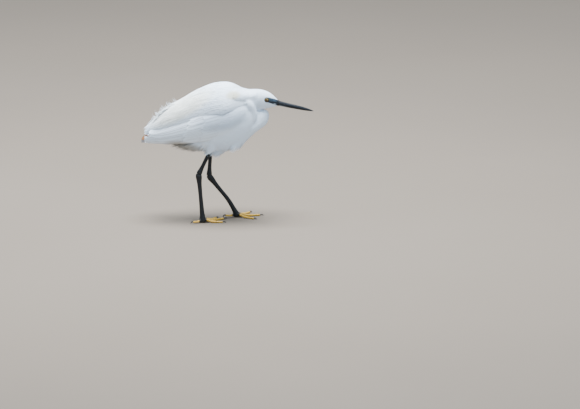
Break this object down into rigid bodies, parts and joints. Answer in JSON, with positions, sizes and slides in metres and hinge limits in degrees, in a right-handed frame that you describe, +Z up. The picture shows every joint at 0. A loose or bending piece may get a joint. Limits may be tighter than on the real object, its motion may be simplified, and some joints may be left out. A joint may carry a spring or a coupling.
{
  "type": "little egret",
  "caption": "Standing wading bird in mid-stride with folded neck, shut wings, long plumes, slim pointed bill and long legs.",
  "frame": {"origin": "centre of the bounding box in plan, on the floor under the feet", "axes": "+X points the way the bill points, +Y to the bird's left, +Z up"},
  "size_m": [0.396, 0.118, 0.327],
  "materials": {
    "white_feather": "matt white feathers",
    "cream_plume": "matt cream plumes",
    "lore_skin": "bare blue-grey skin",
    "bill_horn": "smooth black horn",
    "leg_skin": "black scaled skin",
    "toe_skin": "yellow scaled skin",
    "claw_horn": "smooth dark horn",
    "eye": "wet yellow eye with a black pupil"
  },
  "bodies": {
    "root": {"bill_lower": "bill_horn", "bill_upper": "bill_horn", "claw_hind_left": "claw_horn", "claw_hind_right": "claw_horn", "claw_inner_left": "claw_horn", "claw_inner_right": "claw_horn", "claw_middle_left": "claw_horn", "claw_middle_right": "claw_horn", "claw_outer_left": "claw_horn", "claw_outer_right": "claw_horn", "eye_left": "eye", "eye_right": "eye", "face": "lore_skin", "head": "white_feather", "mantle": "cream_plume", "neck_lower": "white_feather", "neck_upper": "white_feather", "shank_left": "leg_skin", "shank_right": "leg_skin", "tail": "white_feather", "tarsus_left": "leg_skin", "tarsus_right": "leg_skin", "thigh_left": "white_feather", "thigh_right": "white_feather", "toe_hind_left": "toe_skin", "toe_hind_right": "toe_skin", "toe_inner_left": "toe_skin", "toe_inner_right": "toe_skin", "toe_middle_left": "toe_skin", "toe_middle_right": "toe_skin", "toe_outer_left": "toe_skin", "toe_outer_right": "toe_skin", "torso": "white_feather", "wing_left": "white_feather", "wing_right": "white_feather"}
  },
  "joints": []
}
